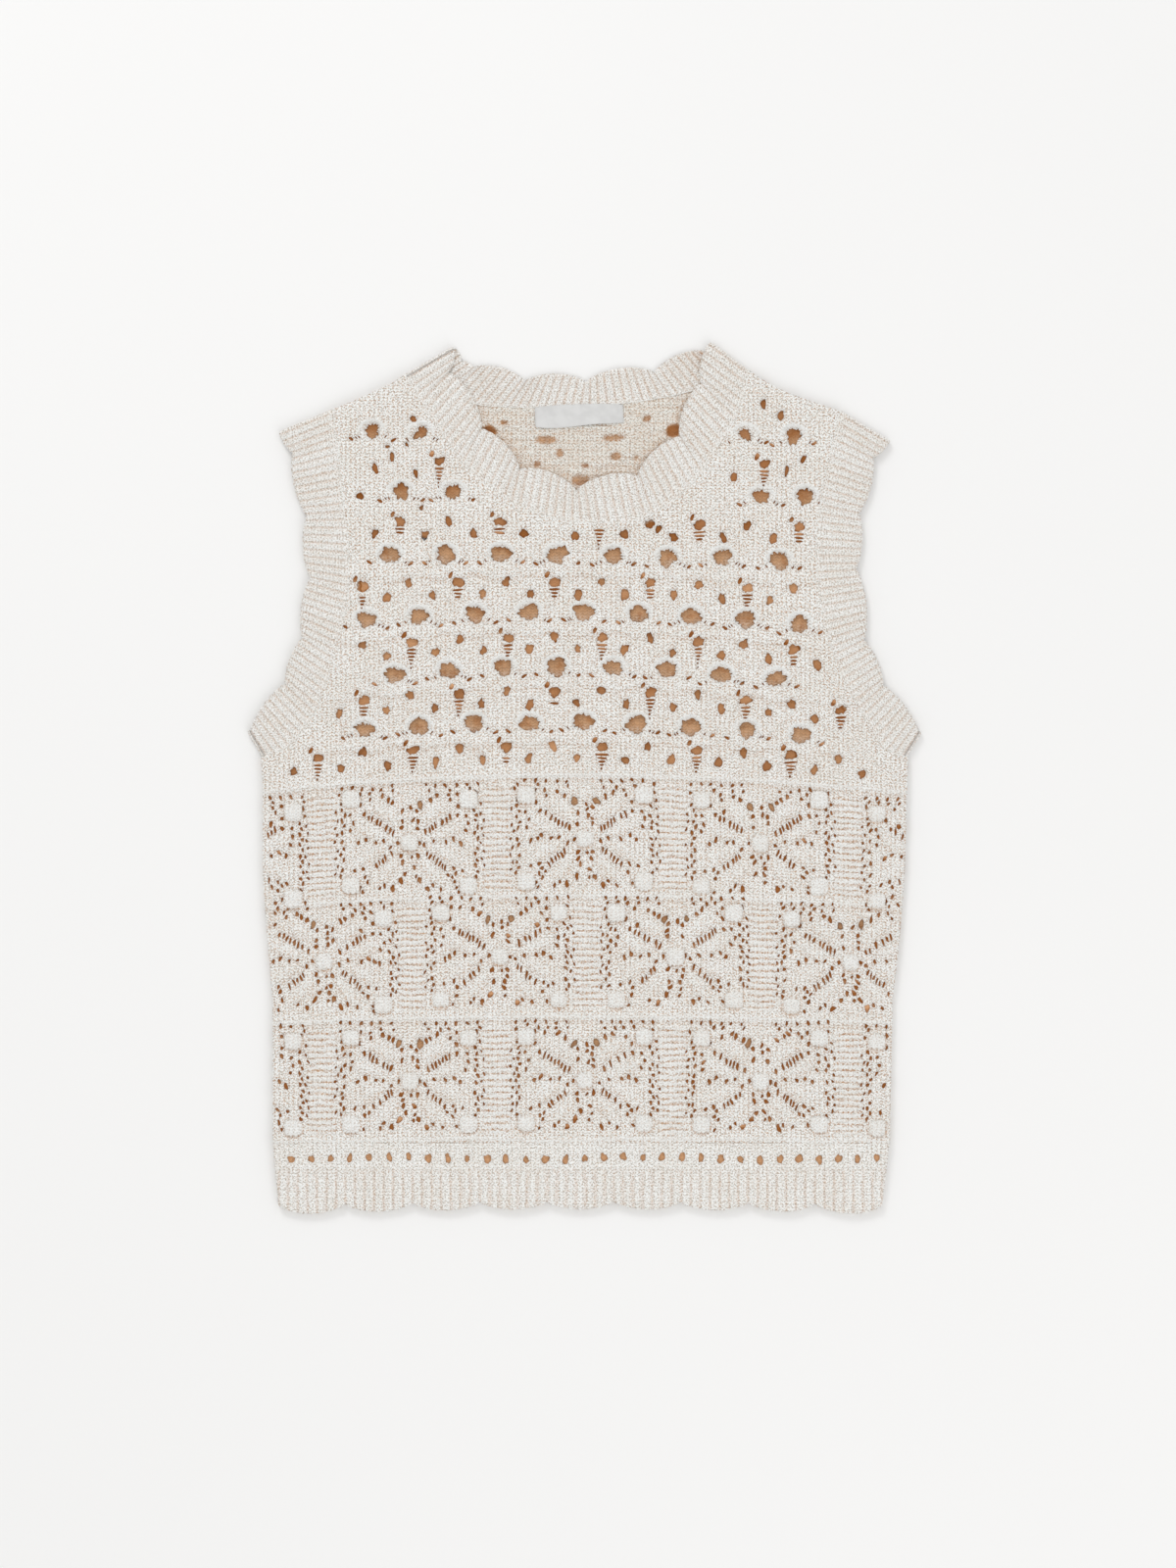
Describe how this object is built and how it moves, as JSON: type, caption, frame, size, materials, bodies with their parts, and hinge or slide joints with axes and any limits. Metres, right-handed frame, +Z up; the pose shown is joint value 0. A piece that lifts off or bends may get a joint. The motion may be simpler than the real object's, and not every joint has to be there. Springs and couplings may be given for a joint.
{
  "type": "openwork knit vest",
  "caption": "Sleeveless openwork knit vest with ribbed, scalloped neck, arm and hem bands, laid flat with its front up.",
  "frame": {"origin": "middle of the vest's outline as it lies, on the surface that it lies on", "axes": "+X to the right of the front as seen, +Y towards the neck, +Z up from the surface"},
  "size_m": [0.4121, 0.5338, 0.0072],
  "materials": {
    "knit_front": "matt knit",
    "knit_back": "matt knit",
    "knit_rib": "matt rib knit",
    "label_weave": "smooth weave"
  },
  "bodies": {
    "root": {"front_panel": "knit_front", "back_panel": "knit_back", "front_hem_band": "knit_rib", "back_hem_band": "knit_rib", "neckband": "knit_rib", "left_armband": "knit_rib", "right_armband": "knit_rib", "woven_label": "label_weave"}
  },
  "joints": []
}
